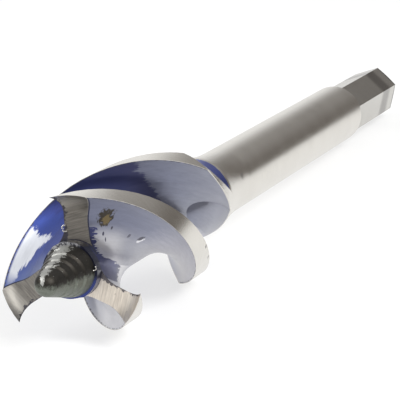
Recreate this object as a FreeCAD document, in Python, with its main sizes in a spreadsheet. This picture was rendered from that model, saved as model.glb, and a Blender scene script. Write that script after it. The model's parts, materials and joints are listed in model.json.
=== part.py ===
"""A three-winged wood auger bit, lying on its side as it comes to rest.

The bit is first modelled along its own axis: z = 0 is the plane of the cutting corners, the lead screw
points to -z and the hexagonal drive end is at +z. Every piece then gets the same Placement, which lays
the bit down along +X with the lead screw towards -X.
"""
import FreeCAD, Part
import math
import os
import Sketcher

SIZES = {
    # Head
    "head_radius": 8.0,
    "wing_count": 3,
    "helix_lead": 78.6,
    "land_angle": 25.4,
    "land_end": 34.0,
    "core_radius": 2.95,
    "heel_offset": 2.05,
    "heel_root_radius": 3.5,
    "heel_flare_length": 2.4,
    "rake_lean": 4.0,
    "rake_root_radius": 3.0,
    # Flute run-out and shoulder
    "runout_start": 33.4,
    "runout_drop": 0.28,
    "runout_end": 48.4,
    "runout_radius": 4.78,
    "shoulder_end": 59.0,
    # Shank and drive end
    "shank_radius": 4.0,
    "shank_end": 121.0,
    "neck_end": 123.0,
    "neck_radius": 3.1,
    "drive_flats": 6.35,
    "drive_root": 3.0,
    "drive_end": 147.0,
    "drive_turn": 28.0,
    "drive_chamfer": 0.8,
    "drive_chamfer_angle": 30.0,
    # Cutting faces
    "relief_angle": 8.0,
    "dish_depth": 1.45,
    "dish_radius": 2.25,
    "dish_gap_angle": 4.0,
    "hub_radius": 3.1,
    # Lead screw
    "screw_base_radius": 2.8,
    "screw_length": 8.6,
    "screw_half_angle": 11.3,
    "screw_tip_radius": 1.3,
    "thread_pitch": 1.7,
    "thread_depth": 0.5,
    "thread_flank_angle": 80.0,
    "stem_radius": 1.25,
    "stem_length": 9.0,
    # Working allowances of the cutters
    "cutter_overrun": 2.0,
    "cutter_rim": 0.3,
    # How the bit lies
    "rest_roll": 157.73,
    "rest_length": 128.0,
}


def make_sheet(doc):
    """The driving dimensions, one row each: name, value."""
    sheet = doc.addObject("Spreadsheet::Sheet", "sizes")
    for row, (name, value) in enumerate(SIZES.items(), start=1):
        sheet.set(f"A{row}", name)
        sheet.set(f"B{row}", str(value))
        sheet.setAlias(f"B{row}", name)
    doc.recompute()
    return sheet


def dimension(sketch, expression, *constraint):
    """Adds a driving dimension and binds it to the sheet."""
    index = sketch.addConstraint(Sketcher.Constraint(*constraint))
    sketch.setExpression(f"Constraints[{index}]", expression)


def relation(sketch, *constraint):
    sketch.addConstraint(Sketcher.Constraint(*constraint))


def line(sketch, start, end, construction=False):
    return sketch.addGeometry(Part.LineSegment(start, end), construction)


def arc(sketch, centre, radius, start_angle, end_angle):
    circle = Part.Circle(centre, FreeCAD.Vector(0, 0, 1), radius)
    return sketch.addGeometry(Part.ArcOfCircle(circle, start_angle, end_angle), False)


def body_sketch(body, name, plane_role):
    """A sketch on one of its own body's origin planes."""
    sketch = body.newObject("Sketcher::SketchObject", name)
    plane = next(item for item in body.Origin.OriginFeatures if item.Role == plane_role)
    sketch.AttachmentSupport = [(plane, "")]
    sketch.MapMode = "FlatFace"
    return sketch


def closed_profile(sketch, corners):
    """Straight sides through the corners, joined end to end."""
    count = len(corners)
    sides = [line(sketch, corners[i], corners[(i + 1) % count]) for i in range(count)]
    for i in range(count):
        relation(sketch, "Coincident", sides[i], 2, sides[(i + 1) % count], 1)
    return sides


def place_corner(sketch, side, x_expression, y_expression, corner):
    """Ties the start point of a side to a place worked out from the sheet."""
    dimension(sketch, x_expression, "DistanceX", -1, 1, side, 1, corner.x)
    dimension(sketch, y_expression, "DistanceY", -1, 1, side, 1, corner.y)


def make_blank(doc, size):
    """The turned blank with its hexagonal drive end and the blind bore for the lead screw."""
    vector = FreeCAD.Vector
    body = doc.addObject("PartDesign::Body", "turned_blank")
    profile = body_sketch(body, "blank_profile", "XZ_Plane")
    head = vector(size["head_radius"], 0, 0)
    land = vector(size["head_radius"], size["land_end"], 0)
    shoulder = vector(size["shank_radius"], size["shoulder_end"], 0)
    shank = vector(size["shank_radius"], size["shank_end"], 0)
    neck = vector(size["neck_radius"], size["neck_end"], 0)
    rise = size["head_radius"] - size["shank_radius"]
    run = size["shoulder_end"] - size["land_end"]
    sweep_radius = (rise * rise + run * run) / (2 * rise)
    sweep_centre = vector(size["shank_radius"] + sweep_radius, size["shoulder_end"], 0)
    sweep_angle = math.asin(run / sweep_radius)

    front = line(profile, vector(0, 0, 0), head)
    margin = line(profile, head, land)
    concave = arc(profile, sweep_centre, sweep_radius, math.pi, math.pi + sweep_angle)
    side = line(profile, shoulder, shank)
    slope = line(profile, shank, neck)
    back = line(profile, neck, vector(0, neck.y, 0))
    axis = line(profile, vector(0, neck.y, 0), vector(0, 0, 0))
    relation(profile, "Coincident", front, 1, -1, 1)
    relation(profile, "Coincident", front, 2, margin, 1)
    relation(profile, "Coincident", margin, 2, concave, 2)
    relation(profile, "Tangent", concave, 1, side, 1)
    relation(profile, "Coincident", side, 2, slope, 1)
    relation(profile, "Coincident", slope, 2, back, 1)
    relation(profile, "Coincident", back, 2, axis, 1)
    relation(profile, "Coincident", axis, 2, front, 1)
    relation(profile, "Horizontal", front)
    relation(profile, "Vertical", margin)
    relation(profile, "Vertical", side)
    relation(profile, "Horizontal", back)
    relation(profile, "Vertical", axis)
    dimension(profile, "sizes.head_radius", "DistanceX", front, 1, front, 2, head.x)
    dimension(profile, "sizes.land_end", "DistanceY", margin, 1, margin, 2, land.y)
    dimension(profile, "sizes.shank_radius", "DistanceX", -1, 1, side, 1, shoulder.x)
    dimension(profile, "sizes.shoulder_end", "DistanceY", -1, 1, side, 1, shoulder.y)
    dimension(profile, "sizes.shank_end", "DistanceY", -1, 1, side, 2, shank.y)
    dimension(profile, "sizes.neck_end", "DistanceY", -1, 1, slope, 2, neck.y)
    dimension(profile, "sizes.neck_radius", "DistanceX", -1, 1, slope, 2, neck.x)
    turned = body.newObject("PartDesign::Revolution", "turned_form")
    turned.Profile = profile
    turned.ReferenceAxis = (profile, ["V_Axis"])
    turned.Angle = 360
    doc.recompute()

    hexagon = body_sketch(body, "drive_section", "XY_Plane")
    hexagon.setExpression("AttachmentOffset.Base.z", "sizes.shank_end - sizes.drive_root")
    hexagon.setExpression("AttachmentOffset.Rotation.Angle", "sizes.drive_turn")
    corner_radius = size["drive_flats"] / math.sqrt(3)
    corners = [vector(corner_radius * math.cos(math.radians(60 * i)),
                      corner_radius * math.sin(math.radians(60 * i)), 0) for i in range(6)]
    sides = closed_profile(hexagon, corners)
    outer = hexagon.addGeometry(Part.Circle(vector(0, 0, 0), vector(0, 0, 1), corner_radius), True)
    relation(hexagon, "Coincident", outer, 3, -1, 1)
    for i, drawn in enumerate(sides):
        relation(hexagon, "PointOnObject", drawn, 1, outer)
        if i:
            relation(hexagon, "Equal", sides[0], drawn)
    relation(hexagon, "PointOnObject", sides[0], 1, -1)
    dimension(hexagon, "sizes.drive_flats / sqrt(3)", "Radius", outer, corner_radius)
    drive = body.newObject("PartDesign::Pad", "drive_end")
    drive.Profile = hexagon
    drive.setExpression("Length", "sizes.drive_end - sizes.shank_end + sizes.drive_root")
    doc.recompute()

    bevel = body_sketch(body, "drive_bevel", "XZ_Plane")
    reach = size["drive_flats"]
    inner = corner_radius - size["drive_chamfer"]
    drop = (reach - inner) * math.tan(math.radians(size["drive_chamfer_angle"]))
    low = vector(reach, size["drive_end"] - drop, 0)
    tip = vector(inner, size["drive_end"], 0)
    outside = vector(reach, size["drive_end"] + size["cutter_overrun"], 0)
    above = vector(inner, size["drive_end"] + size["cutter_overrun"], 0)
    edges = closed_profile(bevel, [low, outside, above, tip])
    inner_rule = "sizes.drive_flats / sqrt(3) - sizes.drive_chamfer"
    drop_rule = f"(sizes.drive_flats - ({inner_rule})) * tan(sizes.drive_chamfer_angle * 1deg)"
    place_corner(bevel, edges[0], "sizes.drive_flats", f"sizes.drive_end - {drop_rule}", low)
    place_corner(bevel, edges[1], "sizes.drive_flats", "sizes.drive_end + sizes.cutter_overrun", outside)
    place_corner(bevel, edges[2], inner_rule, "sizes.drive_end + sizes.cutter_overrun", above)
    place_corner(bevel, edges[3], inner_rule, "sizes.drive_end", tip)
    chamfer = body.newObject("PartDesign::Groove", "drive_chamfer")
    chamfer.Profile = bevel
    chamfer.ReferenceAxis = (bevel, ["V_Axis"])
    chamfer.Angle = 360
    doc.recompute()

    seat = body_sketch(body, "screw_seat", "XY_Plane")
    hole = seat.addGeometry(Part.Circle(vector(0, 0, 0), vector(0, 0, 1), size["stem_radius"]), False)
    relation(seat, "Coincident", hole, 3, -1, 1)
    dimension(seat, "sizes.stem_radius", "Radius", hole, size["stem_radius"])
    bore = body.newObject("PartDesign::Pocket", "screw_bore")
    bore.Profile = seat
    bore.Reversed = True
    bore.setExpression("Length", "sizes.stem_length")
    body.Tip = bore
    doc.recompute()
    return body


def root_turns(size):
    """How far behind and ahead of a wing's radial line its two root fillets meet the core, in radians."""
    core = size["core_radius"]
    heel_root = size["heel_root_radius"]
    rake_root = size["rake_root_radius"]
    lean = math.radians(size["rake_lean"])
    behind = math.asin((size["heel_offset"] + heel_root) / (core + heel_root))
    ahead = math.asin((rake_root + size["head_radius"] * math.sin(lean)) / (core + rake_root)) - lean
    return behind, ahead


def flute_section(doc, name, size):
    """The space between one wing's heel and the next wing's leading flank.

    The heel flank runs parallel to its own wing's radial line, flares out to the land's trailing corner
    and rolls into the core. The next wing's leading flank is straight and leans forward from its radial
    line towards the core. Both carry on past the land's cylinder, out to the cutter's rim.
    """
    vector = FreeCAD.Vector
    head = size["head_radius"]
    core = size["core_radius"]
    pitch_angle = math.radians(360 / size["wing_count"])
    land = math.radians(size["land_angle"])
    outer = head + size["cutter_rim"]

    def polar(radius, angle):
        return vector(radius * math.cos(angle), radius * math.sin(angle), 0)

    heel_span = core + size["heel_root_radius"]
    heel_turn, rake_turn = root_turns(size)
    heel_centre = polar(heel_span, heel_turn)
    heel_corner = polar(head, land)
    flare_foot = vector(heel_corner.x - size["heel_flare_length"], size["heel_offset"], 0)
    flare_rise = heel_corner.y - flare_foot.y
    flare_radius = (flare_rise ** 2 + size["heel_flare_length"] ** 2) / (2 * flare_rise)
    flare_centre = vector(flare_foot.x, flare_foot.y + flare_radius, 0)
    flare_span = flare_centre.Length
    flare_reach = (outer ** 2 - flare_span ** 2 - flare_radius ** 2) / (2 * flare_radius * flare_span)
    flare_end = math.atan2(flare_centre.y, flare_centre.x) - math.acos(flare_reach)
    flare_tip = flare_centre + polar(flare_radius, flare_end)

    lean = math.radians(size["rake_lean"])
    rake_angle = pitch_angle + lean
    rake_centre = polar(core + size["rake_root_radius"], pitch_angle - rake_turn)
    rake_corner = polar(head, pitch_angle)
    rake_foot = rake_centre + polar(size["rake_root_radius"], rake_angle + math.pi / 2)
    rake_reach = math.sqrt(outer ** 2 - (head * math.sin(lean)) ** 2) - head * math.cos(lean)
    rake_tip = rake_corner + polar(rake_reach, rake_angle)

    sketch = doc.addObject("Sketcher::SketchObject", name)
    flare = arc(sketch, flare_centre, flare_radius, -math.pi / 2, flare_end)
    heel = line(sketch, flare_foot, vector(heel_centre.x, size["heel_offset"], 0))
    heel_root = arc(sketch, heel_centre, size["heel_root_radius"], heel_turn + math.pi, 1.5 * math.pi)
    floor = arc(sketch, vector(0, 0, 0), core, heel_turn, pitch_angle - rake_turn)
    rake_root = arc(sketch, rake_centre, size["rake_root_radius"], rake_angle + math.pi / 2,
                    pitch_angle - rake_turn + math.pi)
    rake = line(sketch, rake_foot, rake_tip)
    rim = arc(sketch, vector(0, 0, 0), outer, math.atan2(flare_tip.y, flare_tip.x),
              math.atan2(rake_tip.y, rake_tip.x))
    heel_ray = line(sketch, vector(0, 0, 0), heel_corner, True)
    rake_ray = line(sketch, vector(0, 0, 0), rake_corner, True)

    relation(sketch, "Tangent", flare, 1, heel, 1)
    relation(sketch, "Tangent", heel, 2, heel_root, 2)
    relation(sketch, "Tangent", heel_root, 1, floor, 1)
    relation(sketch, "Tangent", floor, 2, rake_root, 2)
    relation(sketch, "Tangent", rake_root, 1, rake, 1)
    relation(sketch, "Coincident", rake, 2, rim, 2)
    relation(sketch, "Coincident", rim, 1, flare, 2)
    relation(sketch, "Coincident", floor, 3, -1, 1)
    relation(sketch, "Coincident", rim, 3, -1, 1)
    relation(sketch, "Coincident", heel_ray, 1, -1, 1)
    relation(sketch, "PointOnObject", heel_ray, 2, flare)
    relation(sketch, "Coincident", rake_ray, 1, -1, 1)
    relation(sketch, "PointOnObject", rake_ray, 2, rake)
    relation(sketch, "Horizontal", heel)
    dimension(sketch, "sizes.land_angle * 1deg", "Angle", heel_ray, land)
    dimension(sketch, "360deg / sizes.wing_count", "Angle", rake_ray, pitch_angle)
    dimension(sketch, "360deg / sizes.wing_count + sizes.rake_lean * 1deg", "Angle", rake, rake_angle)
    dimension(sketch, "sizes.head_radius", "Distance", heel_ray, head)
    dimension(sketch, "sizes.head_radius", "Distance", rake_ray, head)
    dimension(sketch, "sizes.head_radius + sizes.cutter_rim", "Radius", rim, outer)
    dimension(sketch, "sizes.core_radius", "Radius", floor, core)
    dimension(sketch, "sizes.heel_root_radius", "Radius", heel_root, size["heel_root_radius"])
    dimension(sketch, "sizes.rake_root_radius", "Radius", rake_root, size["rake_root_radius"])
    dimension(sketch, "sizes.heel_offset", "DistanceY", -1, 1, heel, 1, size["heel_offset"])
    dimension(sketch, "sizes.heel_flare_length", "DistanceX", heel, 1, heel_ray, 2, size["heel_flare_length"])
    return sketch


def make_flute(doc, index, size):
    """One flute: its section carried along the helix, started a little ahead of the cutting plane."""
    section = flute_section(doc, f"flute_section_{index}", size)
    helix = doc.addObject("Part::Helix", f"flute_helix_{index}")
    helix.setExpression("Pitch", "sizes.helix_lead")
    helix.setExpression("Radius", "sizes.head_radius")
    helix.setExpression("Height", "sizes.runout_end + 3 * sizes.cutter_overrun")
    turn_rule = f"360deg * ({index} / sizes.wing_count - sizes.cutter_overrun / sizes.helix_lead)"
    for item in (section, helix):
        item.setExpression("Placement.Base.z", "-sizes.cutter_overrun")
        item.setExpression("Placement.Rotation.Angle", turn_rule)
    doc.recompute()
    flute = doc.addObject("Part::Sweep", f"flute_{index}")
    flute.Sections = [section]
    flute.Spine = (helix, ["Edge1"])
    flute.Solid = True
    flute.Frenet = True
    doc.recompute()
    return flute


def make_runout(doc, size):
    """The form that is kept under the flutes, where their floor climbs to the shoulder."""
    vector = FreeCAD.Vector
    body = doc.addObject("PartDesign::Body", "runout_form")
    profile = body_sketch(body, "runout_profile", "XZ_Plane")
    start = vector(size["core_radius"] - size["runout_drop"], size["runout_start"], 0)
    crest = vector(size["runout_radius"], size["runout_end"], 0)
    end = size["runout_end"] + 4 * size["cutter_overrun"]
    rise = crest.x - start.x
    run = crest.y - start.y
    ramp_radius = (rise * rise + run * run) / (2 * rise)
    ramp_centre = vector(crest.x - ramp_radius, crest.y, 0)
    floor = line(profile, vector(0, start.y, 0), start)
    ramp = arc(profile, ramp_centre, ramp_radius, -math.asin(run / ramp_radius), 0)
    side = line(profile, crest, vector(crest.x, end, 0))
    top = line(profile, vector(crest.x, end, 0), vector(0, end, 0))
    axis = line(profile, vector(0, end, 0), vector(0, start.y, 0))
    relation(profile, "Coincident", floor, 2, ramp, 1)
    relation(profile, "Tangent", ramp, 2, side, 1)
    relation(profile, "Coincident", side, 2, top, 1)
    relation(profile, "Coincident", top, 2, axis, 1)
    relation(profile, "Coincident", axis, 2, floor, 1)
    relation(profile, "PointOnObject", floor, 1, -2)
    relation(profile, "Horizontal", floor)
    relation(profile, "Vertical", side)
    relation(profile, "Horizontal", top)
    relation(profile, "Vertical", axis)
    dimension(profile, "sizes.core_radius - sizes.runout_drop", "DistanceX", -1, 1, floor, 2, start.x)
    dimension(profile, "sizes.runout_start", "DistanceY", -1, 1, floor, 2, start.y)
    dimension(profile, "sizes.runout_radius", "DistanceX", -1, 1, side, 1, crest.x)
    dimension(profile, "sizes.runout_end", "DistanceY", -1, 1, side, 1, crest.y)
    dimension(profile, "sizes.runout_end + 4 * sizes.cutter_overrun", "DistanceY", -1, 1, side, 2, end)
    form = body.newObject("PartDesign::Revolution", "runout_turned")
    form.Profile = profile
    form.ReferenceAxis = (profile, ["V_Axis"])
    form.Angle = 360
    doc.recompute()
    return body


def make_dish(doc, index, size):
    """The ground face of one wing: flat near the hub, rising in a round to the cutting corner.

    It is turned over the wing's own sector, so that neighbouring wings are left alone, and tilted about
    the wing's radial line, so that it falls away behind the cutting edge.
    """
    vector = FreeCAD.Vector
    depth = size["dish_depth"]
    radius = size["dish_radius"]
    inner = size["stem_radius"]
    top = -size["cutter_overrun"]
    flat_end = size["head_radius"] - math.sqrt(radius ** 2 - (radius - depth) ** 2)
    body = doc.addObject("PartDesign::Body", f"dish_{index}")
    profile = body_sketch(body, f"dish_profile_{index}", "XZ_Plane")
    flat = line(profile, vector(inner, depth, 0), vector(flat_end, depth, 0))
    rise = arc(profile, vector(flat_end, depth - radius, 0), radius, 0, math.pi / 2)
    outside = line(profile, vector(flat_end + radius, depth - radius, 0), vector(flat_end + radius, top, 0))
    lid = line(profile, vector(flat_end + radius, top, 0), vector(inner, top, 0))
    inside = line(profile, vector(inner, top, 0), vector(inner, depth, 0))
    relation(profile, "Tangent", flat, 2, rise, 2)
    relation(profile, "Tangent", rise, 1, outside, 1)
    relation(profile, "Coincident", outside, 2, lid, 1)
    relation(profile, "Coincident", lid, 2, inside, 1)
    relation(profile, "Coincident", inside, 2, flat, 1)
    relation(profile, "Horizontal", flat)
    relation(profile, "Vertical", outside)
    relation(profile, "Horizontal", lid)
    relation(profile, "Vertical", inside)
    dimension(profile, "sizes.stem_radius", "DistanceX", -1, 1, flat, 1, inner)
    dimension(profile, "sizes.dish_depth", "DistanceY", -1, 1, flat, 1, depth)
    dimension(profile, "sizes.dish_radius", "Radius", rise, radius)
    dimension(profile, "sizes.head_radius - sqrt(sizes.dish_radius ^ 2 - "
              "(sizes.dish_radius - sizes.dish_depth) ^ 2)", "DistanceX", -1, 1, flat, 2, flat_end)
    dimension(profile, "sizes.cutter_overrun", "DistanceY", lid, 1, -1, 1, -top)
    turned = body.newObject("PartDesign::Revolution", f"dish_turned_{index}")
    turned.Profile = profile
    turned.ReferenceAxis = (profile, ["V_Axis"])
    turned.Midplane = True
    turned.setExpression("Angle", "360deg / sizes.wing_count - sizes.dish_gap_angle * 1deg")
    behind, ahead = root_turns(size)
    middle = math.degrees(behind - ahead) / 2
    wing_turn = FreeCAD.Rotation(vector(0, 0, 1), index * 360 / size["wing_count"])
    tilt = FreeCAD.Rotation(vector(1, 0, 0), size["relief_angle"])
    sector_turn = FreeCAD.Rotation(vector(0, 0, 1), middle)
    body.Placement = FreeCAD.Placement(vector(0, 0, 0), wing_turn.multiply(tilt).multiply(sector_turn))
    return body


def make_relief(doc, size):
    """The three ground faces together, outside the hub round the screw."""
    ground = doc.addObject("Part::MultiFuse", "dishes")
    ground.Shapes = [make_dish(doc, index, size) for index in range(int(size["wing_count"]))]
    hub = doc.addObject("Part::Cylinder", "hub_keep")
    hub.setExpression("Radius", "sizes.hub_radius")
    hub.setExpression("Height", "3 * sizes.head_radius")
    hub.setExpression("Placement.Base.z", "-1.5 * sizes.head_radius")
    relief = doc.addObject("Part::Cut", "relief_cutter")
    relief.Base = ground
    relief.Tool = hub
    doc.recompute()
    return relief


def make_bit_body(doc, size):
    """The forging: blank, less the flutes above their run-out, less the ground relief."""
    blank = make_blank(doc, size)
    flutes = [make_flute(doc, index, size) for index in range(int(size["wing_count"]))]
    joined = doc.addObject("Part::MultiFuse", "flutes")
    joined.Shapes = flutes
    trimmed = doc.addObject("Part::Cut", "flutes_over_runout")
    trimmed.Base = joined
    trimmed.Tool = make_runout(doc, size)
    fluted = doc.addObject("Part::Cut", "fluted_blank")
    fluted.Base = blank
    fluted.Tool = trimmed
    doc.recompute()
    ground = doc.addObject("Part::Cut", "bit_body")
    ground.Base = fluted
    ground.Tool = make_relief(doc, size)
    ground.Label = "bit_body"
    doc.recompute()
    return ground


def make_lead_screw(doc, size):
    """The threaded point: a cone with a rounded tip, a stem in the bore and a V thread cut round it."""
    vector = FreeCAD.Vector
    body = doc.addObject("PartDesign::Body", "screw_blank")
    profile = body_sketch(body, "screw_profile", "XZ_Plane")
    base = size["screw_base_radius"]
    stem = size["stem_radius"]
    half = math.radians(size["screw_half_angle"])
    tip = size["screw_tip_radius"]
    ball = vector(0, tip - size["screw_length"], 0)
    touch = vector(tip * math.cos(half), ball.y - tip * math.sin(half), 0)
    cone_foot = vector(base, 0, 0)
    stem_foot = vector(stem, 0, 0)
    stem_end = vector(stem, size["stem_length"], 0)
    cone = line(profile, touch, cone_foot)
    seat = line(profile, cone_foot, stem_foot)
    side = line(profile, stem_foot, stem_end)
    end = line(profile, stem_end, vector(0, stem_end.y, 0))
    axis = line(profile, vector(0, stem_end.y, 0), vector(0, ball.y - tip, 0))
    point = arc(profile, ball, tip, -math.pi / 2, -half)
    relation(profile, "Coincident", cone, 2, seat, 1)
    relation(profile, "Coincident", seat, 2, side, 1)
    relation(profile, "Coincident", side, 2, end, 1)
    relation(profile, "Coincident", end, 2, axis, 1)
    relation(profile, "Coincident", axis, 2, point, 1)
    relation(profile, "Coincident", point, 2, cone, 1)
    relation(profile, "PointOnObject", point, 3, -2)
    relation(profile, "PointOnObject", axis, 1, -2)
    relation(profile, "Vertical", axis)
    relation(profile, "Horizontal", seat)
    relation(profile, "Vertical", side)
    relation(profile, "Horizontal", end)
    relation(profile, "PointOnObject", seat, 1, -1)
    dimension(profile, "sizes.screw_base_radius", "DistanceX", -1, 1, seat, 1, base)
    dimension(profile, "sizes.stem_radius", "DistanceX", -1, 1, side, 1, stem)
    dimension(profile, "sizes.stem_length", "DistanceY", side, 1, side, 2, size["stem_length"])
    dimension(profile, "sizes.screw_tip_radius", "Radius", point, tip)
    dimension(profile, "sizes.screw_length", "DistanceY", axis, 2, -1, 1, size["screw_length"])
    dimension(profile, "sizes.screw_tip_radius * cos(sizes.screw_half_angle * 1deg)",
              "DistanceX", -1, 1, cone, 1, touch.x)
    turned = body.newObject("PartDesign::Revolution", "screw_turned")
    turned.Profile = profile
    turned.ReferenceAxis = (profile, ["V_Axis"])
    turned.Angle = 360
    doc.recompute()

    groove = make_thread_groove(doc, size, base, (base - touch.x) / -touch.y)
    screw = doc.addObject("Part::Cut", "lead_screw")
    screw.Base = body
    screw.Tool = groove
    screw.Label = "lead_screw"
    doc.recompute()
    return screw


def make_thread_groove(doc, size, base, taper):
    """A V groove wound down the cone, from just ahead of the seat to short of the rounded tip."""
    depth = size["thread_depth"]
    proud = depth / 4
    half_width = (depth + proud) * math.tan(math.radians(size["thread_flank_angle"] / 2))
    spine = doc.addObject("Part::Helix", "thread_helix")
    spine.setExpression("Pitch", "sizes.thread_pitch")
    spine.setExpression("Height", "sizes.screw_length - sizes.screw_tip_radius - sizes.thread_pitch")
    spine.Radius = base
    spine.Angle = -math.degrees(math.atan(taper))
    spine.Placement = FreeCAD.Placement(FreeCAD.Vector(0, 0, -size["thread_pitch"] / 2),
                                        FreeCAD.Rotation(FreeCAD.Vector(1, 0, 0), 180))
    doc.recompute()
    start = spine.Shape.Vertexes[0].Point
    root = start + FreeCAD.Vector(-depth, 0, 0)
    upper = start + FreeCAD.Vector(proud, 0, half_width)
    lower = start + FreeCAD.Vector(proud, 0, -half_width)
    pipe = Part.BRepOffsetAPI.MakePipeShell(Part.Wire(spine.Shape.Edges))
    pipe.setFrenetMode(True)
    pipe.add(Part.makePolygon([root, upper, lower, root]))
    pipe.build()
    pipe.makeSolid()
    groove = doc.addObject("Part::Feature", "thread_groove")
    groove.Shape = pipe.shape()
    return groove


def lay_down(pieces, size):
    """Lays the bit along +X on the lands and the drive end, with the middle of its footprint at 0, 0."""
    head_to_drive = size["head_radius"] - size["drive_flats"] / math.sqrt(3)
    tilt = math.degrees(math.asin(head_to_drive / size["rest_length"]))
    rolled = FreeCAD.Rotation(FreeCAD.Vector(0, 0, 1), size["rest_roll"])
    laid = FreeCAD.Rotation(FreeCAD.Vector(0, 1, 0), 90 + tilt).multiply(rolled)
    for piece in pieces:
        piece.Placement = FreeCAD.Placement(FreeCAD.Vector(0, 0, 0), laid)
    piece.Document.recompute()
    box = Part.makeCompound([piece.Shape for piece in pieces]).optimalBoundingBox()
    base = FreeCAD.Vector(-box.Center.x, -box.Center.y, -box.ZMin)
    for piece in pieces:
        piece.Placement = FreeCAD.Placement(base, laid)


def check(doc, pieces):
    for item in doc.Objects:
        if "Invalid" in item.State or "Error" in item.State:
            raise RuntimeError(f"{item.Name} did not recompute: {item.State}")
    for piece in pieces:
        if piece.Shape.isNull() or not piece.Shape.isValid():
            raise RuntimeError(f"{piece.Label} is not a valid shape")
        if len(piece.Shape.Solids) != 1:
            raise RuntimeError(f"{piece.Label} holds {len(piece.Shape.Solids)} solids")


def main():
    doc = FreeCAD.newDocument("auger_bit")
    sheet = make_sheet(doc)
    size = {name: float(sheet.get(name)) for name in SIZES}
    pieces = [make_bit_body(doc, size), make_lead_screw(doc, size)]
    lay_down(pieces, size)
    doc.recompute()
    check(doc, pieces)
    os.makedirs("parts", exist_ok=True)
    for piece in pieces:
        piece.Shape.exportStep(os.path.join("parts", piece.Label + ".step"))
        box = piece.Shape.optimalBoundingBox()
        print(piece.Label, "volume", round(piece.Shape.Volume, 2), "faces", len(piece.Shape.Faces),
              "box", [round(value, 2) for value in (box.XMin, box.YMin, box.ZMin,
                                                    box.XMax, box.YMax, box.ZMax)])


main()
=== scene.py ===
"""A three-winged wood auger bit lying on a white table: its finishes, burrs, light and camera.

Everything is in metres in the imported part's own frame. The bit's axis leaves +X by a small tilt, so
a finish that follows the bit is drawn in the bit's own millimetres: z along the axis from the
cutting corners towards the drive end, a radius from the axis, and a turn angle about it. The first
wing's cutting corner is at turn 0, and the second and third wings follow at 120 and 240 degrees.
"""

import json
import math
from types import SimpleNamespace

import bpy
from mathutils import Matrix, Vector


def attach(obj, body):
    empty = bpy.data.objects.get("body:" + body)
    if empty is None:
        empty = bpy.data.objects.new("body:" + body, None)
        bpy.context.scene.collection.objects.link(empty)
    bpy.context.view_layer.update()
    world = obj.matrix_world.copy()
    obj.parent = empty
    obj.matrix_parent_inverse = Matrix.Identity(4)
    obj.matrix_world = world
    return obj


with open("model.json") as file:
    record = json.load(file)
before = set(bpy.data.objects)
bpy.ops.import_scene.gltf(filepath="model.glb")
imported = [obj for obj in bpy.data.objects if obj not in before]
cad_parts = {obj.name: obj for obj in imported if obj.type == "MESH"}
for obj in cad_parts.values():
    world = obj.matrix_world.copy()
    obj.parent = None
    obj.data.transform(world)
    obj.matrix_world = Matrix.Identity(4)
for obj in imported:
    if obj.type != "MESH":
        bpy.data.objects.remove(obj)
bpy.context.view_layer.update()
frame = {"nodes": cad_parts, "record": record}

MM = 0.001
THIRD_TURN = 2 * math.pi / 3

# The bit's driving sizes in millimetres, as in the part's source or worked out from it
HEAD_RADIUS = 8.0
HUB_RADIUS = 3.1
HELIX_LEAD = 78.6
SHOULDER_END = 59.0
SHOULDER_ARC = 80.125
SHANK_RADIUS = 4.0
SHANK_MIDDLE = 90.0
NECK_START = 121.0
DRIVE_END = 147.0
DRIVE_CHAMFER = 0.8
DRIVE_CORNER_RADIUS = 6.35 / math.sqrt(3)
RELIEF_ANGLE = math.radians(8.0)
DISH_DEPTH = 1.45
DISH_RADIUS = 2.25
DISH_CENTRE = 5.897
WING_MIDDLE = math.radians(13.32)
REST_LENGTH = 128.0
REST_ROLL = math.radians(157.73)
REST_TILT = math.asin((HEAD_RADIUS - DRIVE_CORNER_RADIUS) / REST_LENGTH)

# The camera, from the fit to the photograph
CAMERA_AIM = Vector((-20.03, -0.40, 6.44)) * MM
CAMERA_DISTANCE = 360.0 * MM
CAMERA_AZIMUTH = math.radians(-75.275)
CAMERA_ELEVATION = math.radians(13.198)
CAMERA_ROLL = math.radians(5.468)
CAMERA_LENS = 270.0
CAMERA_SENSOR = 36.0

# A wing's flanks reach from 38 degrees before its leading edge to 82 behind it
FLANK_START = math.radians(-38)
FLANK_END = math.radians(82)

# The lacquer from the cutting corners back, wing by wing: millimetres along the axis and a colour.
# Its blue is the lacquer's own. Its pale lavender and navy stretches are painted reflections of the
# bright table and of the darker room, so no two wings are alike.
LACQUER_AND_REFLECTION_BY_WING = (
    ((0, "#72768b"), (6, "#7b7f95"), (13, "#888ca2"), (18, "#adadbd"), (25, "#d2d0d9"),
     (33, "#dcdade"), (38, "#b4b6c5"), (48, "#7f84a0")),
    ((0, "#e2e1e7"), (6, "#e4e3e8"), (11, "#ecebef"), (15.5, "#c3c5d1"), (18, "#a3a5b8"),
     (24, "#5a62a0"), (34, "#4a55a4"), (42, "#5a66ae"), (48, "#4052ac")),
    ((0, "#8a93c4"), (4, "#6677b0"), (8, "#4a5aa4"), (14, "#3f509a"), (16.5, "#32396e"),
     (23, "#2c315c"), (27.6, "#33355a"), (28.2, "#6c6f83"), (33, "#83879a"), (38, "#9396a7"),
     (43, "#9c9eae"), (49, "#7c7f92")),
)
LACQUER_SPAN = 52.0
LACQUER_END = 47.3

# Where a wing's zones lean: the millimetres they come forward for each one out from a radius
ZONE_LEAN = (0.0, 0.0, 0.83)
LEAN_FROM_RADIUS = 3.4

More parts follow.
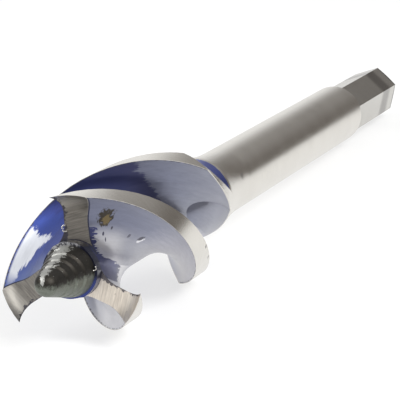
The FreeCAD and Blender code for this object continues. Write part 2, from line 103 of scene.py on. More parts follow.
# Soil baked into the first wing's heel, golden inside a ragged dark rim, then specks and a scratch:
# a colour, the middle and the half sizes in the frame's millimetres, and how much it covers
HEEL_MARKS = (
    ("#2f2820", (-64.40, -2.1, 13.75), (1.25, 1.2, 0.95), 1.0),
    ("#6f5f3c", (-64.25, -2.15, 13.5), (0.62, 0.9, 0.50), 0.75),
    ("#3a3846", (-63.1, -2.4, 12.4), (0.20, 0.5, 0.20), 1.0),
    ("#35344a", (-64.6, -1.9, 12.0), (0.17, 0.5, 0.20), 1.0),
    ("#35344a", (-64.1, -2.1, 11.3), (0.17, 0.5, 0.22), 1.0),
    ("#4a495c", (-59.4, -3.3, 10.9), (0.28, 0.5, 0.25), 0.9),
    ("#e3e2e8", (-56.3, -3.8, 9.75), (0.62, 0.6, 0.26), 0.9),
    ("#38364a", (-56.5, -3.8, 10.05), (0.60, 0.6, 0.22), 1.0),
)

# Nicks in the bare steel, one where the shank begins and two on a margin, in the same terms
STEEL_NICKS = (
    ("#4a443d", (-13.3, -3.6, 8.6), (0.55, 0.6, 0.40), 0.45),
    ("#55504a", (-44.3, -8.0, 7.2), (0.35, 0.5, 0.25), 0.8),
    ("#55504a", (-41.5, -7.6, 5.3), (0.35, 0.5, 0.25), 0.8),
)

# The dark and light of each face's grinding lines. How bright each face is, the second the brightest,
# is painted reflection of the room.
GROUND_TONES = (("#5b5854", "#827d76"), ("#b9b0a5", "#e6ddd1"), ("#64615e", "#938f88"))

# Curls of steel: a name, the middle and axis in the frame, the curl's and the wire's radius in
# millimetres, the angle where it starts, the angle it sweeps in degrees, and the ring that folds in
CURLS = (
    ("curled_burr_on_the_first_face", (-67.70, 1.34, 12.72), (-0.99, -0.13, 0.09), 0.34, 0.085, 0, 250, 6),
    ("curled_burr_by_the_screw", (-69.40, -2.72, 9.40), (-0.85, -0.45, 0.1), 0.22, 0.07, 120, 220, 9),
)
CURL_SIDES = 10
CURL_STEPS = 14


def laid_rotation():
    """Turns the bit's own axes into the frame's: rolled about its axis, then laid along +X."""
    rolled = Matrix.Rotation(REST_ROLL, 3, "Z")
    laid = Matrix.Rotation(math.pi / 2 + REST_TILT, 3, "Y")
    return laid @ rolled


def cutting_centre():
    """The centre of the cutting plane, stepped back along the axis from the middle of the shank."""
    shank = next(mount for mount in frame["record"]["mounts"] if mount["name"] == "round_shank")
    return Vector(shank["pos_m"]) - Vector(shank["axis"]).normalized() * SHANK_MIDDLE * MM


LAID = laid_rotation()
ORIGIN = cutting_centre()


def linear(hex_colour):
    """An sRGB hex colour as linear RGBA."""
    channels = [int(hex_colour[start:start + 2], 16) / 255 for start in (1, 3, 5)]
    return tuple(part / 12.92 if part <= 0.04045 else ((part + 0.055) / 1.055) ** 2.4
                 for part in channels) + (1.0,)


def add(tree, kind, sockets, out=0, **settings):
    """Adds one node with its settings and links, and returns one of its outputs, or the node itself."""
    made = tree.nodes.new("ShaderNode" + kind)
    for name, value in settings.items():
        setattr(made, name, value)
    for key, value in sockets.items():
        if isinstance(value, bpy.types.NodeSocket):
            tree.links.new(value, made.inputs[key])
        else:
            made.inputs[key].default_value = value
    return made if out is None else made.outputs[out]


def start_finish(name):
    """A new material, its tree and shader, and the place on the piece in the frame's millimetres."""
    material = bpy.data.materials.new(name)
    material.use_nodes = True
    tree = material.node_tree
    tree.nodes.clear()
    shader = add(tree, "BsdfPrincipled", {}, out=None)
    add(tree, "OutputMaterial", {"Surface": shader.outputs["BSDF"]}, out=None)
    metres = add(tree, "TexCoord", {}, out="Object")
    place = add(tree, "Mapping", {"Vector": metres, "Scale": (1 / MM, 1 / MM, 1 / MM)}, vector_type="POINT")
    return material, tree, shader, place


def bit_millimetres(tree, place):
    """The place in the bit's own millimetres: the whole vector, z, radius and turn about the axis."""
    to_bit = LAID.transposed()
    shift = -(to_bit @ ORIGIN) / MM
    own_place = add(tree, "Mapping", {"Vector": place, "Location": shift,
                                      "Rotation": to_bit.to_euler("XYZ")}, vector_type="POINT")
    parts = add(tree, "SeparateXYZ", {0: own_place}, out=None)
    flat = add(tree, "CombineXYZ", {0: parts.outputs[0], 1: parts.outputs[1]})
    radius = add(tree, "VectorMath", {0: flat}, out="Value", operation="LENGTH")
    turn = add(tree, "Math", {0: parts.outputs[1], 1: parts.outputs[0]}, operation="ARCTAN2")
    return own_place, parts.outputs[2], radius, turn


def read_body(tree, place):
    """What the body's finish is drawn from: its places in millimetres, its flanks and its noises."""
    own_place, z, radius, turn = bit_millimetres(tree, place)
    bit = SimpleNamespace(tree=tree, place=place, own_place=own_place, z=z, radius=radius, turn=turn)

    # The turn with the helix unwound stays the same all along a wing
    bit.unwound = add(tree, "Math", {0: z, 1: -2 * math.pi / HELIX_LEAD, 2: turn}, operation="MULTIPLY_ADD")
    bit.behind_edge = []
    bit.on_flank = []
    for wing in range(3):
        behind = add(tree, "Math", {0: bit.unwound, 1: -wing * THIRD_TURN}, operation="ADD")
        behind = add(tree, "Math", {0: behind, 1: FLANK_START + 2 * math.pi, 2: FLANK_START},
                     operation="WRAP")
        bit.behind_edge.append(behind)
        bit.on_flank.append(add(tree, "Math", {0: behind, 1: FLANK_END}, operation="LESS_THAN"))

    # The brush ran along the flutes, so its streaks are about 0.4 mm wide and 2.4 mm long
    brush_across = add(tree, "Math", {0: bit.unwound, 1: 5.0}, operation="MULTIPLY")
    brush_along = add(tree, "Math", {0: z, 1: 0.16}, operation="MULTIPLY")
    brush = add(tree, "CombineXYZ", {0: radius, 1: brush_across, 2: brush_along})
    bit.streak = add(tree, "TexNoise", {"Vector": brush, "Scale": 2.6, "Detail": 4.0, "Roughness": 0.7})
    bit.ragged = add(tree, "Math", {0: bit.streak, 1: -0.5}, operation="ADD")

    # Small knocks about 0.5 mm across, and slow clouds about 5 mm across
    bit.knocks = add(tree, "TexNoise", {"Vector": place, "Scale": 2.2, "Detail": 5.0, "Roughness": 0.65})
    bit.cloud = add(tree, "TexNoise", {"Vector": place, "Scale": 0.22, "Detail": 3.0})
    return bit


def along_and_across(bit, turn):
    """Millimetres out along the line to the nearest wing's cutting corner, and across that line, for
    a turn about the axis."""
    limits = {1: WING_MIDDLE + THIRD_TURN / 2, 2: WING_MIDDLE - THIRD_TURN / 2}
    folded = add(bit.tree, "Math", {0: turn, **limits}, operation="WRAP")
    reach = []
    for way in ("COSINE", "SINE"):
        share = add(bit.tree, "Math", {0: folded}, operation=way)
        reach.append(add(bit.tree, "Math", {0: bit.radius, 1: share}, operation="MULTIPLY"))
    return reach


def on_dished_face(bit):
    """The three dished faces ground at the cutting end: 1 on them, the place along and across the
    wing as the face leans, and how far off the dish a point lies, in millimetres."""
    tree = bit.tree
    along, across = along_and_across(bit, bit.turn)
    upright = add(tree, "CombineXYZ", {0: along, 1: across, 2: bit.z})
    leaned = add(tree, "Mapping", {"Vector": upright, "Rotation": (-RELIEF_ANGLE, 0, 0)}, vector_type="POINT")
    parts = add(tree, "SeparateXYZ", {0: leaned}, out=None)
    flat = add(tree, "CombineXYZ", {0: parts.outputs[0], 1: parts.outputs[1]})
    reach = add(tree, "VectorMath", {0: flat}, out="Value", operation="LENGTH")

    # The dish has a flat floor to its centre radius, then a quarter round that rises to the rim
    beyond = add(tree, "Math", {0: reach, 1: DISH_CENTRE}, operation="SUBTRACT")
    beyond = add(tree, "Math", {0: beyond, 1: 0.0}, operation="MAXIMUM")
    squared = add(tree, "Math", {0: beyond, 1: beyond}, operation="MULTIPLY")
    left = add(tree, "Math", {0: DISH_RADIUS ** 2, 1: squared}, operation="SUBTRACT")
    left = add(tree, "Math", {0: left, 1: 0.0}, operation="MAXIMUM")
    rise = add(tree, "Math", {0: left}, operation="SQRT")
    dish = add(tree, "Math", {0: rise, 1: DISH_DEPTH - DISH_RADIUS}, operation="ADD")
    off_dish = add(tree, "Math", {0: parts.outputs[2], 1: dish}, operation="SUBTRACT")
    off_dish = add(tree, "Math", {0: off_dish}, operation="ABSOLUTE")
    close = add(tree, "Math", {0: off_dish, 1: 0.08}, operation="LESS_THAN")
    outside_hub = add(tree, "Math", {0: bit.radius, 1: HUB_RADIUS + 0.03}, operation="GREATER_THAN")
    face = add(tree, "Math", {0: close, 1: outside_hub}, operation="MULTIPLY")
    return face, parts.outputs[0], parts.outputs[1], off_dish


def nick(bit, under, mark):
    """Lays one small mark over a colour, with an edge that the knocks pull in and out about its
    half sizes."""
    colour, middle, half_sizes, cover = mark
    local = add(bit.tree, "Mapping", {"Vector": bit.place, "Location": middle, "Scale": half_sizes},
                vector_type="TEXTURE")
    far = add(bit.tree, "VectorMath", {0: local}, out="Value", operation="LENGTH")
    far = add(bit.tree, "Math", {0: bit.knocks, 1: 2.4, 2: far}, operation="MULTIPLY_ADD")
    inside = add(bit.tree, "MapRange", {"Value": far, "From Min": 2.30, "From Max": 2.05, "To Max": cover})
    return add(bit.tree, "Mix", {0: inside, 6: under, 7: linear(colour)}, out=2, data_type="RGBA")


def lacquer_and_reflection_by_wing(bit):
    """The lacquer's zones along each wing: its own blue, with painted reflections of the table and
    the room, and edges that the brush's streaks pull apart.
    """
    tree = bit.tree
    lacquer = None
    for wing, stops in enumerate(LACQUER_AND_REFLECTION_BY_WING):
        zone = bit.z
        if ZONE_LEAN[wing]:
            outward = add(tree, "Math", {0: bit.radius, 1: -LEAN_FROM_RADIUS}, operation="ADD")
            zone = add(tree, "Math", {0: outward, 1: ZONE_LEAN[wing], 2: zone}, operation="MULTIPLY_ADD")
        zone = add(tree, "Math", {0: bit.ragged, 1: 4.5, 2: zone}, operation="MULTIPLY_ADD")
        zone = add(tree, "Math", {0: zone, 1: 1 / LACQUER_SPAN}, operation="MULTIPLY")
        ramp = add(tree, "ValToRGB", {0: zone}, out=None)
        elements = ramp.color_ramp.elements
        while len(elements) < len(stops):
            elements.new(1.0)
        for element, (mm, colour) in zip(elements, stops):
            element.position = mm / LACQUER_SPAN
            element.color = linear(colour)
        if lacquer is None:
            lacquer = ramp.outputs[0]
        else:
            lacquer = add(tree, "Mix", {0: bit.on_flank[wing], 6: lacquer, 7: ramp.outputs[0]}, out=2,
                          data_type="RGBA")
    return lacquer


def pale_root(bit, lacquer):
    """The first wing's heel grows paler towards the root of its flute, and again by its face: a painted
    reflection of the bright table under the arch.
    """
    near_root = add(bit.tree, "MapRange", {"Value": bit.radius, "From Min": 5.2, "From Max": 3.0,
                                           "To Max": 0.45}, interpolation_type="SMOOTHSTEP")
    near_root = add(bit.tree, "Math", {0: near_root, 1: bit.on_flank[0]}, operation="MULTIPLY")
    by_face = add(bit.tree, "MapRange", {"Value": bit.z, "From Min": 11.0, "From Max": 6.5, "To Max": 1.15},
                  interpolation_type="SMOOTHSTEP")
    by_face = add(bit.tree, "Math", {0: near_root, 1: by_face}, operation="MULTIPLY")
    for share, colour in ((near_root, "#c6c5cb"), (by_face, "#f2f0f1")):
        lacquer = add(bit.tree, "Mix", {0: share, 6: lacquer, 7: linear(colour)}, out=2, data_type="RGBA")
    return lacquer


def overhead_highlight(bit, lacquer):
    """A painted highlight: the overhead light's white reflection on the third wing's flank by its cutting
    corner, with ragged brushed edges.
    """
    tree = bit.tree
    upper = add(tree, "Math", {0: bit.ragged, 1: 5.0, 2: bit.z}, operation="MULTIPLY_ADD")
    patch = add(tree, "MapRange", {"Value": upper, "From Min": 9.5, "From Max": 9.0})
    lower = add(tree, "Math", {0: bit.z, 1: 0.26, 2: bit.radius}, operation="MULTIPLY_ADD")
    lower = add(tree, "Math", {0: bit.ragged, 1: 1.6, 2: lower}, operation="MULTIPLY_ADD")
    above_lower = add(tree, "MapRange", {"Value": lower, "From Min": 7.55, "From Max": 7.75})
    inside_rim = add(tree, "MapRange", {"Value": bit.radius, "From Min": 7.85, "From Max": 7.65})
    past_corner = add(tree, "MapRange", {"Value": bit.z, "From Min": 1.2, "From Max": 3.2})
    for limit in (above_lower, inside_rim, past_corner, bit.on_flank[2]):
        patch = add(tree, "Math", {0: patch, 1: limit}, operation="MULTIPLY")
    return add(tree, "Mix", {0: patch, 6: lacquer, 7: linear("#f1f4fc")}, out=2, data_type="RGBA")


def dark_band(bit, lacquer):
    """The dark band round the root beside the screw, ragged where the brush left it: navy lacquer
    darkened by a painted reflection of the darker room. It reaches 2.7 mm along the bit on the first
    wing's heel and 8.8 mm in the flute behind."""
    tree = bit.tree
    behind = bit.behind_edge[0]
    climb = add(tree, "MapRange", {"Value": behind, "From Min": math.radians(66),
                                   "From Max": math.radians(86), "To Min": 2.7, "To Max": 8.8},
                interpolation_type="SMOOTHSTEP")
    past = add(tree, "Math", {0: bit.z, 1: climb}, operation="SUBTRACT")
    past = add(tree, "Math", {0: bit.ragged, 1: 7.5, 2: past}, operation="MULTIPLY_ADD")
    band = add(tree, "MapRange", {"Value": past, "From Min": 0.25, "From Max": -0.1})
    for side, degrees in (("GREATER_THAN", 26), ("LESS_THAN", 112)):
        limit = add(tree, "Math", {0: behind, 1: math.radians(degrees)}, operation=side)
        band = add(tree, "Math", {0: band, 1: limit}, operation="MULTIPLY")
    colour = add(tree, "Mix", {0: bit.cloud, 6: linear("#20264f"), 7: linear("#3d4380")}, out=2,
                 data_type="RGBA")
    return add(tree, "Mix", {0: band, 6: lacquer, 7: colour}, out=2, data_type="RGBA")


def fresh_runout(bit, lacquer):
    """Fresh blue where the flute before the third wing runs out into the shoulder."""
    late = add(bit.tree, "MapRange", {"Value": bit.z, "From Min": 43.5, "From Max": 45.5})
    before_edge = add(bit.tree, "Math", {0: bit.behind_edge[2], 1: math.radians(5)}, operation="LESS_THAN")
    for limit in (before_edge, bit.on_flank[2]):
        late = add(bit.tree, "Math", {0: late, 1: limit}, operation="MULTIPLY")
    return add(bit.tree, "Mix", {0: late, 6: lacquer, 7: linear("#4052ac")}, out=2, data_type="RGBA")


def brushed_tone(bit, lacquer):
    """Fine streaks over slow clouds, which darken the lacquer here and there."""
    tone = add(bit.tree, "Math", {0: bit.streak, 1: 0.22, 2: 0.60}, operation="MULTIPLY_ADD")
    tone = add(bit.tree, "Math", {0: bit.cloud, 1: 0.16, 2: tone}, operation="MULTIPLY_ADD")
    return add(bit.tree, "Mix", {0: 1.0, 6: lacquer, 7: tone}, out=2, data_type="RGBA",
               blend_type="MULTIPLY")


def chipped_edge(bit, lacquer):
    """Dark chips along the flanks' outer edge, where knocks took the lacquer off."""
    edge = add(bit.tree, "MapRange", {"Value": bit.radius, "From Min": 7.45, "From Max": 7.85})
    knocked = add(bit.tree, "Math", {0: bit.knocks, 1: edge}, operation="ADD")
    chipped = add(bit.tree, "MapRange", {"Value": knocked, "From Min": 1.47, "From Max": 1.52,
                                         "To Max": 0.85})
    return add(bit.tree, "Mix", {0: chipped, 6: lacquer, 7: linear("#3c3d4e")}, out=2, data_type="RGBA")


def hub_end(bit, lacquer):
    """The hub's end round the screw: near black, bluer where the lacquer ran thick on the far side
    of the screw from the first wing, and scuffed grey beside that wing."""
    tree = bit.tree
    inside = add(tree, "Math", {0: bit.radius, 1: HUB_RADIUS + 0.06}, operation="LESS_THAN")
    in_front = add(tree, "Math", {0: bit.z, 1: 1.35}, operation="LESS_THAN")
    at_hub = add(tree, "Math", {0: inside, 1: in_front}, operation="MULTIPLY")
    mottle = add(tree, "TexNoise", {"Vector": bit.place, "Scale": 3.2, "Detail": 4.0, "Roughness": 0.7})
    mottle = add(tree, "MapRange", {"Value": mottle, "From Min": 0.42, "From Max": 0.58})
    scuffed = add(tree, "Mix", {0: mottle, 6: linear("#3b3b42"), 7: linear("#a9a9ab")}, out=2,
                  data_type="RGBA")
    turned_away = add(tree, "Math", {0: bit.turn}, operation="ABSOLUTE")
    by_first = add(tree, "MapRange", {"Value": turned_away, "From Min": math.radians(42),
                                      "From Max": math.radians(34)})
    thick = add(tree, "MapRange", {"Value": turned_away, "From Min": math.radians(112),
                                   "From Max": math.radians(126)})
    hub = add(tree, "Mix", {0: thick, 6: linear("#292b3c"), 7: linear("#39437c")}, out=2, data_type="RGBA")
    hub = add(tree, "Mix", {0: by_first, 6: hub, 7: scuffed}, out=2, data_type="RGBA")
    return add(tree, "Mix", {0: at_hub, 6: lacquer, 7: hub}, out=2, data_type="RGBA")


def ground_faces(bit, along, across, pits):
    """The ground faces' colour, and their grinding lines, about 0.2 mm apart across each wing."""
    tree = bit.tree
    lines_place = add(tree, "CombineXYZ", {0: along, 1: across})
    lines_place = add(tree, "Mapping", {"Vector": lines_place, "Scale": (5.5, 0.35, 1.0)},
                      vector_type="POINT")
    lines = add(tree, "TexNoise", {"Vector": lines_place, "Scale": 1.0, "Detail": 3.0, "Roughness": 0.7})
    lines = add(tree, "MapRange", {"Value": lines, "From Min": 0.3, "From Max": 0.7})
    # Painted reflection: each ground face is given its own brightness
    first, second, third = [add(tree, "Mix", {0: lines, 6: linear(dark), 7: linear(light)}, out=2,
                                data_type="RGBA") for dark, light in GROUND_TONES]
    at_second = add(tree, "Math", {0: bit.turn, 1: WING_MIDDLE + THIRD_TURN / 2}, operation="GREATER_THAN")
    at_third = add(tree, "Math", {0: bit.turn, 1: WING_MIDDLE - THIRD_TURN / 2}, operation="LESS_THAN")
    ground = add(tree, "Mix", {0: at_second, 6: first, 7: second}, out=2, data_type="RGBA")
    ground = add(tree, "Mix", {0: at_third, 6: ground, 7: third}, out=2, data_type="RGBA")
    # Painted highlight: each face grows paler on the quarter round that rises to its rim
    rim_highlight = add(tree, "MapRange", {"Value": along, "From Min": 5.9, "From Max": 7.3, "To Max": 0.4},
                      interpolation_type="SMOOTHSTEP")

    # Burrs and torn lacquer darken the leading edge of each face, raggedly
    forward, sideways = along_and_across(bit, bit.unwound)
    from_edge = add(tree, "Math", {0: forward, 1: -0.07, 2: sideways}, operation="MULTIPLY_ADD")
    from_edge = add(tree, "Math", {0: bit.knocks, 1: 1.6, 2: from_edge}, operation="MULTIPLY_ADD")
    torn = add(tree, "MapRange", {"Value": from_edge, "From Min": 0.46, "From Max": 0.36, "To Max": 0.85})
    for share, colour in ((rim_highlight, "#f2ede4"), (pits, "#4f4438"), (torn, "#3c3b47")):
        ground = add(tree, "Mix", {0: share, 6: ground, 7: linear(colour)}, out=2, data_type="RGBA")
    return ground, lines


def bright_steel(bit, pits):
    """The margins and shank: warm bright steel, with grinding marks drawn out round the axis. The
    drive end is greyer, with a scorched band near its end and a dark chamfer."""
    tree = bit.tree
    marks_place = add(tree, "Mapping", {"Vector": bit.own_place, "Scale": (0.5, 0.5, 7.0)},
                      vector_type="POINT")
    turned = add(tree, "TexNoise", {"Vector": marks_place, "Scale": 1.0, "Detail": 3.0})
    steel = add(tree, "Mix", {0: turned, 6: linear("#c9c4bb"), 7: linear("#e0ddd6")}, out=2,
                data_type="RGBA")
    steel = add(tree, "Mix", {0: pits, 6: steel, 7: linear("#b5aca0")}, out=2, data_type="RGBA")
    for start, colour in ((NECK_START, "#b9b6af"), (DRIVE_END - DRIVE_CHAMFER, "#57534e"),
                          (DRIVE_END - 0.05, "#b9b5ae")):
        onwards = add(tree, "Math", {0: bit.z, 1: start}, operation="GREATER_THAN")
        steel = add(tree, "Mix", {0: onwards, 6: steel, 7: linear(colour)}, out=2, data_type="RGBA")
    from_band = add(tree, "Math", {0: bit.z, 1: -140.6}, operation="ADD")
    from_band = add(tree, "Math", {0: from_band}, operation="ABSOLUTE")
    scorch = add(tree, "MapRange", {"Value": from_band, "From Min": 3.4, "From Max": 1.2, "To Max": 0.7},
                 interpolation_type="SMOOTHSTEP")
    steel = add(tree, "Mix", {0: scorch, 6: steel, 7: linear("#4d4640")}, out=2, data_type="RGBA")
    for mark in STEEL_NICKS:
        steel = nick(bit, steel, mark)
    return steel


def bare_of_lacquer(bit):
    """1 on the margins and on the concave shoulder's own surface, and behind the lacquer's end."""
    tree = bit.tree
    back = add(tree, "Math", {0: SHOULDER_END, 1: bit.z}, operation="SUBTRACT")
    squared = add(tree, "Math", {0: back, 1: back}, operation="MULTIPLY")
    left = add(tree, "Math", {0: SHOULDER_ARC ** 2, 1: squared}, operation="SUBTRACT")
    drop = add(tree, "Math", {0: left}, operation="SQRT")
    shoulder = add(tree, "Math", {0: SHANK_RADIUS + SHOULDER_ARC - 0.1, 1: drop}, operation="SUBTRACT")
    outer = add(tree, "Math", {0: shoulder, 1: HEAD_RADIUS - 0.06}, operation="MINIMUM")
    on_outer = add(tree, "Math", {0: bit.radius, 1: outer}, operation="GREATER_THAN")
    ragged_z = add(tree, "Math", {0: bit.ragged, 1: 1.5, 2: bit.z}, operation="MULTIPLY_ADD")
    behind_end = add(tree, "Math", {0: ragged_z, 1: LACQUER_END}, operation="GREATER_THAN")
    return add(tree, "Math", {0: on_outer, 1: behind_end}, operation="MAXIMUM")


def body_finish():
    """Forged tool steel, part lacquered: bare ground margins and faces, a polished shank, and a dyed
    clear lacquer between them.

    The lacquer is a thin blue coat over bright brushed metal, a metallic royal blue with ragged
    brushed edges. Its pale lavender grey and its navy are painted reflections of the table and the room.
    """
    material, tree, shader, place = start_finish("forged_steel_blue_lacquer")
    bit = read_body(tree, place)
    face, along, across, off_dish = on_dished_face(bit)
    pits = add(tree, "MapRange", {"Value": bit.knocks, "From Min": 0.66, "From Max": 0.72, "To Max": 0.6})

    lacquer = lacquer_and_reflection_by_wing(bit)
    for layer in (pale_root, overhead_highlight, dark_band, fresh_runout, brushed_tone, chipped_edge):
        lacquer = layer(bit, lacquer)
    for mark in HEEL_MARKS:
        lacquer = nick(bit, lacquer, mark)
    lacquer = hub_end(bit, lacquer)

    # A thin dark line of torn lacquer runs beside each ground face
    beside_face = add(tree, "Math", {0: off_dish, 1: 0.27}, operation="LESS_THAN")
    lacquer = add(tree, "Mix", {0: beside_face, 6: lacquer, 7: linear("#2e3147")}, out=2, data_type="RGBA")

    bare = bare_of_lacquer(bit)
    ground, lines = ground_faces(bit, along, across, pits)
    colour = add(tree, "Mix", {0: bare, 6: lacquer, 7: bright_steel(bit, pits)}, out=2, data_type="RGBA")
    colour = add(tree, "Mix", {0: face, 6: colour, 7: ground}, out=2, data_type="RGBA")
    tree.links.new(colour, shader.inputs["Base Color"])
    shader.inputs["Metallic"].default_value = 1.0

    # The polished steel is the smoothest, then the lacquer, then the ground faces
    coated = add(tree, "Math", {0: 1.0, 1: bare}, operation="SUBTRACT")
    off_face = add(tree, "Math", {0: 1.0, 1: face}, operation="SUBTRACT")
    coated = add(tree, "Math", {0: coated, 1: off_face}, operation="MULTIPLY")
    rough = add(tree, "Math", {0: coated, 1: 0.10, 2: 0.20}, operation="MULTIPLY_ADD")
    rough = add(tree, "Math", {0: face, 1: 0.22, 2: rough}, operation="MULTIPLY_ADD")
    rough = add(tree, "Math", {0: bit.cloud, 1: 0.10, 2: rough}, operation="MULTIPLY_ADD")
    tree.links.new(rough, shader.inputs["Roughness"])
    shader.inputs["Coat Roughness"].default_value = 0.12
    coat = add(tree, "Math", {0: coated, 1: 0.25}, operation="MULTIPLY")
    tree.links.new(coat, shader.inputs["Coat Weight"])
    height = add(tree, "Mix", {0: face, 6: bit.streak, 7: lines}, out=2, data_type="RGBA")
    bump = add(tree, "Bump", {"Strength": 0.25, "Distance": 0.02 * MM, "Height": height})
    tree.links.new(bump, shader.inputs["Normal"])
    return material


def screw_finish():
    """Black-oxide tool steel. It gives the eye a near black thread, with a paler grey strip along the side
    that faces the first wing, painted glints, and a grey-green painted reflection of the table low down."""
    material, tree, shader, place = start_finish("black_oxide_screw_steel")
    turn = bit_millimetres(tree, place)[-1]
    parts = add(tree, "SeparateXYZ", {0: place}, out=None)
    knocks = add(tree, "TexNoise", {"Vector": place, "Scale": 2.4, "Detail": 5.0, "Roughness": 0.7})
    grain = add(tree, "TexNoise", {"Vector": place, "Scale": 5.0, "Detail": 4.0, "Roughness": 0.7})
    oxide = add(tree, "Mix", {0: knocks, 6: linear("#161514"), 7: linear("#37342f")}, out=2,
                data_type="RGBA")

    # Painted reflection of the white table: the lower side is paler, below a ragged line about 9 mm above the
    # table
    height = add(tree, "Math", {0: knocks, 1: 1.6, 2: parts.outputs[2]}, operation="MULTIPLY_ADD")
    low = add(tree, "MapRange", {"Value": height, "From Min": 9.9, "From Max": 9.3})
    table_reflection = add(tree, "Mix", {0: grain, 6: linear("#51554e"), 7: linear("#868a81")}, out=2,
                data_type="RGBA")
    oxide = add(tree, "Mix", {0: low, 6: oxide, 7: table_reflection}, out=2, data_type="RGBA")

    # A paler grey strip runs along the side that faces the first wing, ragged and about 40 degrees wide
    side = add(tree, "Math", {0: turn, 1: math.radians(-6)}, operation="ADD")
    side = add(tree, "Math", {0: side}, operation="ABSOLUTE")
    side = add(tree, "Math", {0: knocks, 1: 1.9, 2: side}, operation="MULTIPLY_ADD")
    pale_strip = add(tree, "MapRange", {"Value": side, "From Min": 1.32, "From Max": 1.22, "To Max": 0.8})
    # Painted glints: bright specks of highlight on the thread
    glint = add(tree, "MapRange", {"Value": grain, "From Min": 0.68, "From Max": 0.72})
    colour = add(tree, "Mix", {0: pale_strip, 6: oxide, 7: linear("#a4a4a0")}, out=2, data_type="RGBA")
    colour = add(tree, "Mix", {0: glint, 6: colour, 7: linear("#9c9b96")}, out=2, data_type="RGBA")
    tree.links.new(colour, shader.inputs["Base Color"])
    shader.inputs["Metallic"].default_value = 0.9
    shader.inputs["Roughness"].default_value = 0.5
    bump = add(tree, "Bump", {"Strength": 0.35, "Distance": 0.03 * MM, "Height": grain})
    tree.links.new(bump, shader.inputs["Normal"])
    return material


def give(node_name, material):
    """Puts a finish on a node of the frame."""
    mesh = frame["nodes"][node_name].data
    mesh.materials.clear()
    mesh.materials.append(material)


def bright_burr_steel():
    """Freshly torn steel: bright, with a grain of darker grey about 0.2 mm across."""
    material, tree, shader, place = start_finish("bright_torn_steel")
    grain = add(tree, "TexNoise", {"Vector": place, "Scale": 5.0, "Detail": 3.0})
    colour = add(tree, "Mix", {0: grain, 6: linear("#6f6c6a"), 7: linear("#d8d5cf")}, out=2,
                 data_type="RGBA")
    tree.links.new(colour, shader.inputs["Base Color"])
    shader.inputs["Metallic"].default_value = 1.0
    shader.inputs["Roughness"].default_value = 0.3
    bump = add(tree, "Bump", {"Strength": 0.4, "Distance": 0.02 * MM, "Height": grain})
    tree.links.new(bump, shader.inputs["Normal"])
    return material


def steel_curl(name, material, middle, axis, reach, wire, start, sweep, folded):
    """A curl of steel left by the grinder: a small round spun most of a turn about the axis. One of
    its rings and its free end are thinned and drawn together, so that the curl folds in on itself."""
    middle = Vector(middle) * MM
    axis = Vector(axis).normalized()
    outward = axis.orthogonal().normalized()
    outward.rotate(Matrix.Rotation(math.radians(start), 3, axis))
    onward = axis.cross(outward)
    bpy.ops.object.select_all(action="DESELECT")
    bpy.ops.mesh.primitive_circle_add(vertices=CURL_SIDES, radius=wire * MM, fill_type="NGON",
                                      location=middle + outward * reach * MM,
                                      rotation=onward.to_track_quat("Z", "Y").to_euler())
    curl = bpy.context.object
    curl.name = name
    bpy.ops.object.transform_apply(location=True, rotation=True, scale=True)
    bpy.ops.object.mode_set(mode="EDIT")
    bpy.ops.mesh.select_all(action="SELECT")
    bpy.ops.mesh.spin(steps=CURL_STEPS, angle=math.radians(sweep), center=middle, axis=axis)
    bpy.ops.object.mode_set(mode="OBJECT")

    # Spin leaves its points ring by ring, so a point's number tells its ring
    for vertex in curl.data.vertices:
        vertex.select = vertex.index // CURL_SIDES in (folded, CURL_STEPS)
    bpy.ops.object.mode_set(mode="EDIT")
    bpy.ops.mesh.select_mode(type="VERT")
    bpy.ops.transform.resize(value=(0.3, 0.3, 0.3))
    bpy.ops.mesh.select_all(action="SELECT")
    bpy.ops.mesh.remove_doubles(threshold=0.002 * MM)
    bpy.ops.mesh.normals_make_consistent(inside=False)
    bpy.ops.object.mode_set(mode="OBJECT")
    rounded = curl.modifiers.new("rounded", "SUBSURF")
    rounded.levels = 1
    rounded.render_levels = 1
    bpy.ops.object.modifier_apply(modifier="rounded")
    bpy.ops.object.shade_smooth()
    curl.data.materials.append(material)
    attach(curl, "root")


def seen_or_mirrored(tree):
    """1 for a ray from the camera, off a gloss or through glass, and 0 for one that lights matt things."""
    path = add(tree, "LightPath", {}, out=None)
    seen = path.outputs["Is Camera Ray"]
    for kind in ("Is Glossy Ray", "Is Transmission Ray"):
        seen = add(tree, "Math", {0: seen, 1: path.outputs[kind]}, operation="MAXIMUM")
    return seen


def white_table():
    """A plain matt white laminate under the bit, which takes its soft shadow."""
    material, tree, shader = start_finish("matt_white_laminate")[:3]
    shader.inputs["Base Color"].default_value = linear("#f6f6f5")
    shader.inputs["Roughness"].default_value = 0.7

    # Seven tenths of what shows is plain white, and the rest is laminate that takes the shadow
    share = add(tree, "Math", {0: seen_or_mirrored(tree), 1: 0.7}, operation="MULTIPLY")
    white = add(tree, "Emission", {"Color": linear("#ffffff"), "Strength": 1.0})
    both = add(tree, "MixShader", {0: share, 1: shader.outputs["BSDF"], 2: white})
    surface = next(node for node in tree.nodes if node.type == "OUTPUT_MATERIAL")
    tree.links.new(both, surface.inputs["Surface"])
    bpy.ops.object.select_all(action="DESELECT")
    bpy.ops.mesh.primitive_plane_add(size=3.0, location=(0, 0, 0))
    table = bpy.context.object
    table.name = "white_table"
    table.data.materials.append(material)


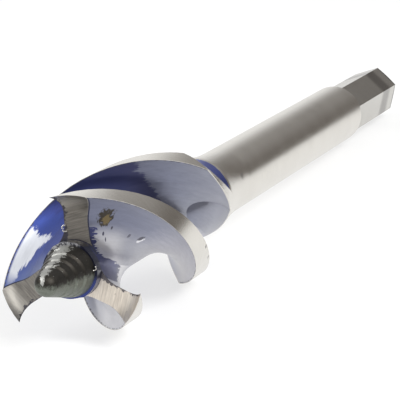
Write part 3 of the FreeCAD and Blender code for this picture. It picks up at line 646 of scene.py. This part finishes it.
def studio():
    """A white room with soft grey walls above the table's edge. Towards +X it has a white window on
    the +Y side and a darker far wall beside it, which the steel mirrors as its long dark band. Each
    limit is a part of the direction of sight, from -1 to 1."""
    made = bpy.data.worlds.new("studio")
    bpy.context.scene.world = made
    made.use_nodes = True
    tree = made.node_tree
    tree.nodes.clear()
    way = add(tree, "SeparateXYZ", {0: add(tree, "TexCoord", {}, out="Generated")}, out=None)
    ahead = add(tree, "MapRange", {"Value": way.outputs[0], "From Min": 0.55, "From Max": 0.85},
                interpolation_type="SMOOTHSTEP")
    off_window = add(tree, "MapRange", {"Value": way.outputs[1], "From Min": 0.32, "From Max": 0.02},
                     interpolation_type="SMOOTHSTEP")
    above = add(tree, "MapRange", {"Value": way.outputs[2], "From Min": -0.10, "From Max": 0.03},
                interpolation_type="SMOOTHSTEP")
    below = add(tree, "MapRange", {"Value": way.outputs[2], "From Min": 0.70, "From Max": 0.10})
    wall = ahead
    for limit in (off_window, above, below):
        wall = add(tree, "Math", {0: wall, 1: limit}, operation="MULTIPLY")

    window = add(tree, "Math", {0: 1.0, 1: off_window}, operation="SUBTRACT")
    window = add(tree, "Math", {0: window, 1: ahead}, operation="MULTIPLY")
    no_window = add(tree, "Math", {0: 1.0, 1: window}, operation="SUBTRACT")
    around = add(tree, "MapRange", {"Value": way.outputs[2], "From Min": 0.60, "From Max": 0.12},
                 interpolation_type="SMOOTHSTEP")
    for limit in (above, no_window):
        around = add(tree, "Math", {0: around, 1: limit}, operation="MULTIPLY")

    room = linear("#ffffff")
    for share, colour in ((around, "#adadaf"), (wall, "#6a645f")):
        room = add(tree, "Mix", {0: share, 6: room, 7: linear(colour)}, out=2, data_type="RGBA")
    strength = add(tree, "MapRange", {"Value": seen_or_mirrored(tree), "To Min": 0.55, "To Max": 1.0})
    light = add(tree, "Background", {"Color": room, "Strength": strength})
    add(tree, "OutputWorld", {"Surface": light}, out=None)


def soft_light(name, place, size, power):
    """One soft rectangular light aimed at the bit, in metres and watts."""
    data = bpy.data.lights.new(name, "AREA")
    data.shape = "RECTANGLE"
    data.size, data.size_y = size
    data.energy = power
    lamp = bpy.data.objects.new(name, data)
    bpy.context.scene.collection.objects.link(lamp)
    lamp.location = place
    lamp.rotation_euler = (CAMERA_AIM - Vector(place)).to_track_quat("-Z", "Y").to_euler()


def camera():
    """The photograph's view: from the cutting end, a little above, with a long lens."""
    data = bpy.data.cameras.new("photo_camera")
    data.lens = CAMERA_LENS
    data.sensor_width = CAMERA_SENSOR
    data.clip_start = 0.01
    data.clip_end = 10.0
    made = bpy.data.objects.new("photo_camera", data)
    bpy.context.scene.collection.objects.link(made)
    back = Vector((math.sin(CAMERA_AZIMUTH) * math.cos(CAMERA_ELEVATION),
                   -math.cos(CAMERA_AZIMUTH) * math.cos(CAMERA_ELEVATION),
                   math.sin(CAMERA_ELEVATION)))
    made.location = CAMERA_AIM + back * CAMERA_DISTANCE
    turn = (-back).to_track_quat("-Z", "Y").to_matrix() @ Matrix.Rotation(CAMERA_ROLL, 3, "Z")
    made.rotation_euler = turn.to_euler()
    bpy.context.scene.camera = made


give("bit_body", body_finish())
give("lead_screw", screw_finish())
torn_steel = bright_burr_steel()
for curl_name, *curl_shape in CURLS:
    steel_curl(curl_name, torn_steel, *curl_shape)
white_table()
studio()
soft_light("key", (-0.25, -0.35, 0.45), (0.35, 0.25), 4.0)
soft_light("fill", (-0.30, 0.40, 0.30), (0.30, 0.30), 2.0)
camera()
bpy.context.scene.view_settings.view_transform = "Standard"
